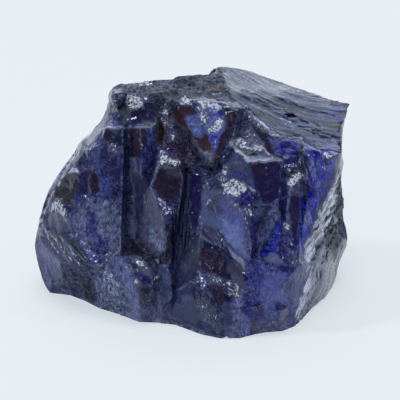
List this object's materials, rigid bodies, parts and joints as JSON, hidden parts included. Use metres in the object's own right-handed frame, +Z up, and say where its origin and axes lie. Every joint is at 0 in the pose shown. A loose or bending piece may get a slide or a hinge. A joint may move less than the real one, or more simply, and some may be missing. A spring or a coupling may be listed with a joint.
{
  "type": "rough sapphire",
  "caption": "Rough natural sapphire, one faceted lump of broken dark blue-violet crystal with a ridged flat top, resting on its flat base.",
  "frame": {"origin": "centre of the bounding box, on the resting plane", "axes": "+X runs to the right along the stone's width, +Y runs away from the broken front face, +Z is up"},
  "size_m": [0.0634, 0.0538, 0.0409],
  "materials": {
    "crystal": "glossy broken crystal, dark blue-violet with maroon facets and a dark grey crust"
  },
  "bodies": {
    "root": {"rough_sapphire": "crystal"}
  },
  "joints": []
}
